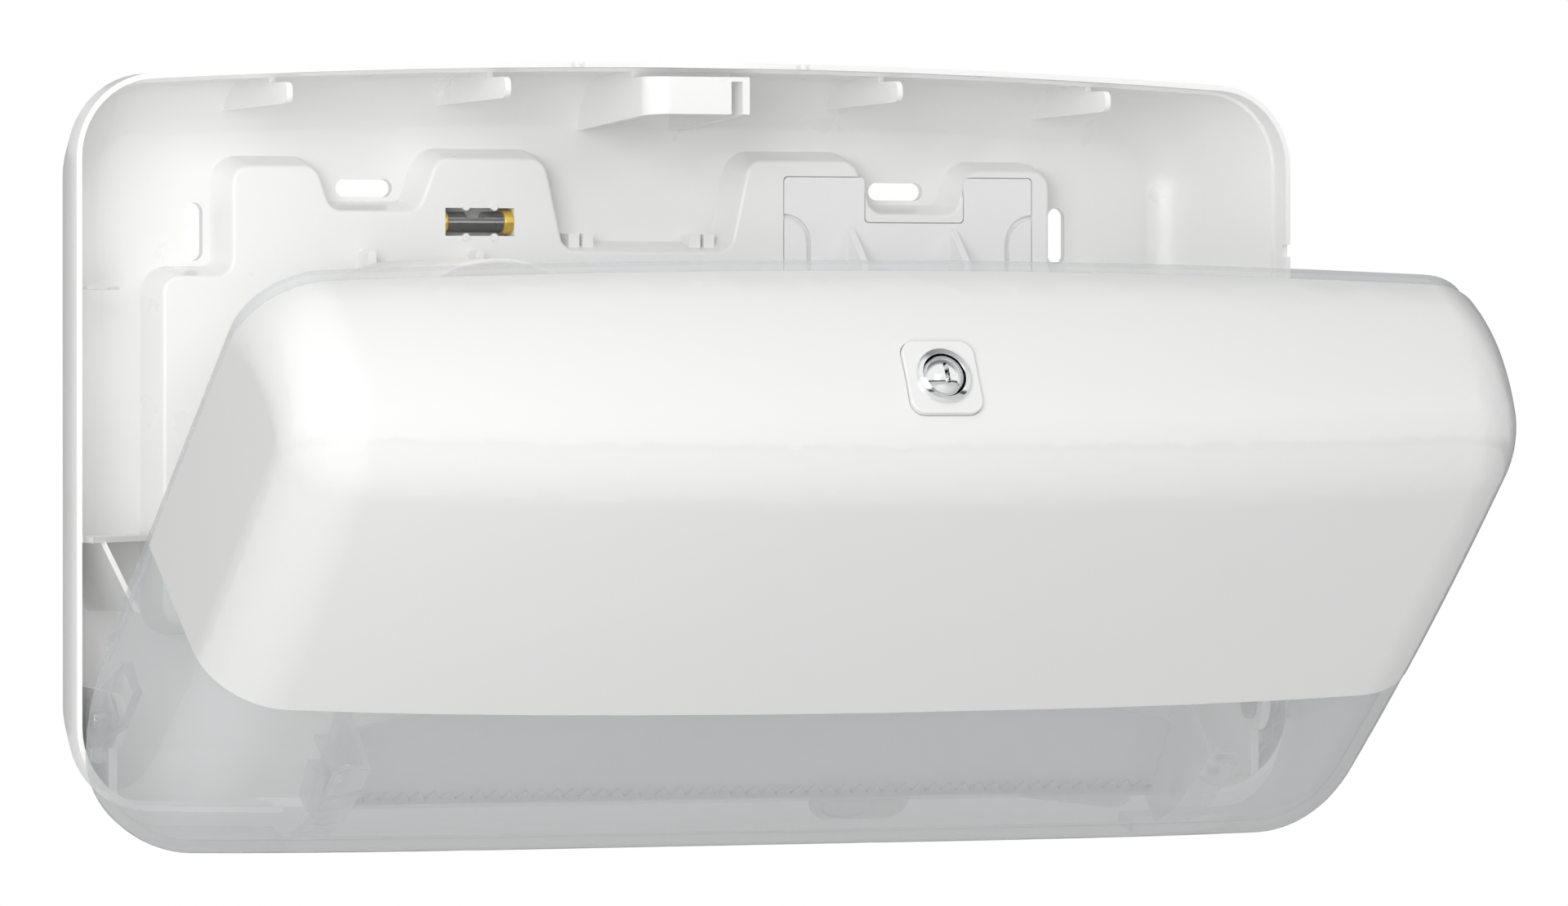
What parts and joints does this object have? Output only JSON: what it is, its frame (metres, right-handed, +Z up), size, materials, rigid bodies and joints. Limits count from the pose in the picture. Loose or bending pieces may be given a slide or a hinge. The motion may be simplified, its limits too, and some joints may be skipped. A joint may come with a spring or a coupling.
{
  "type": "toilet paper dispenser",
  "caption": "White wall-mounted double roll toilet paper dispenser with its locking cover hanging open, smoked lower band, tear bar and sliding shutter.",
  "frame": {"origin": "on the wall plane, in the centre of the rectangle of horizontal wall slots", "axes": "+X to the right seen from the front, +Y into the wall, +Z up"},
  "size_m": [0.445, 0.2567, 0.262],
  "materials": {
    "casing_white": "semi-gloss moulded",
    "white_gloss": "high gloss moulded",
    "white_satin": "satin moulded",
    "smoke": "see-through smoke grey",
    "clear": "see-through clear",
    "chrome": "polished",
    "steel": "zinc plated",
    "vial_glass": "clear",
    "level_liquid": "dark liquid",
    "amber_cap": "amber yellow",
    "friction_rubber": "matte",
    "cardboard": "unbleached board",
    "paper": "soft tissue"
  },
  "bodies": {
    "casing": {"rear_casing": "casing_white", "carrier_plate": "white_satin", "carrier_screws": "steel", "level_vial": "vial_glass", "level_fluid": "level_liquid", "level_caps": "amber_cap", "spindle_post_left": "white_satin", "spindle_post_right": "white_satin", "spindle_screws_left": "steel", "spindle_screws_right": "steel", "friction_ring_left": "friction_rubber", "friction_ring_right": "friction_rubber", "hub_washer_left": "steel", "hub_washer_right": "steel", "hub_screw_left": "steel", "hub_screw_right": "steel", "hinge_pin_left": "steel", "hinge_pin_right": "steel"},
    "cover": {"front_shell": "white_gloss", "smoke_shell": "smoke", "lock_bezel": "white_gloss", "lock_collar": "chrome", "lock_nut": "steel", "latch_bracket": "white_satin", "latch_pin": "steel", "guide_plate": "white_gloss", "tear_bar": "clear", "end_bracket_left": "clear", "end_bracket_right": "clear", "bracket_screws": "steel", "shutter_rail": "white_satin"},
    "barrel": {"lock_barrel": "chrome", "lock_cam": "steel"},
    "latch": {"latch_lever": "white_satin"},
    "shutter": {"slide_shutter": "white_gloss"},
    "left_roll": {"roll_hub_left": "white_satin", "roll_core": "cardboard", "stub_roll": "paper"},
    "right_roll": {"roll_hub_right": "white_satin"}
  },
  "joints": [
    {"name": "cover_hinge", "type": "hinge", "parent": "casing", "child": "cover", "pos_m": [0, -0.0575, -0.09625], "axis": [-1, 0, 0], "range_deg": [0, 47.16]},
    {"name": "lock_turn", "type": "hinge", "parent": "cover", "child": "barrel", "pos_m": [0, -0.25066, 0.01631], "axis": [0, -0.9086, 0.4176], "range_deg": [0, 90]},
    {"name": "latch_pivot", "type": "hinge", "parent": "cover", "child": "latch", "pos_m": [0, -0.21785, 0.01357], "axis": [1, 0, 0], "range_deg": [0, 18]},
    {"name": "shutter_slide", "type": "slide", "parent": "cover", "child": "shutter", "axis": [1, 0, 0], "range_m": [-0.09, 0]},
    {"name": "left_hub_spin", "type": "hinge", "parent": "casing", "child": "left_roll", "pos_m": [-0.096, -0.06, 0.008], "axis": [0, -1, 0], "continuous": true},
    {"name": "right_hub_spin", "type": "hinge", "parent": "casing", "child": "right_roll", "pos_m": [0.096, -0.06, 0.008], "axis": [0, -1, 0], "continuous": true}
  ],
  "couplings": [
    {"joint": "latch_pivot", "follows": "lock_turn", "ratio": 0.2}
  ]
}
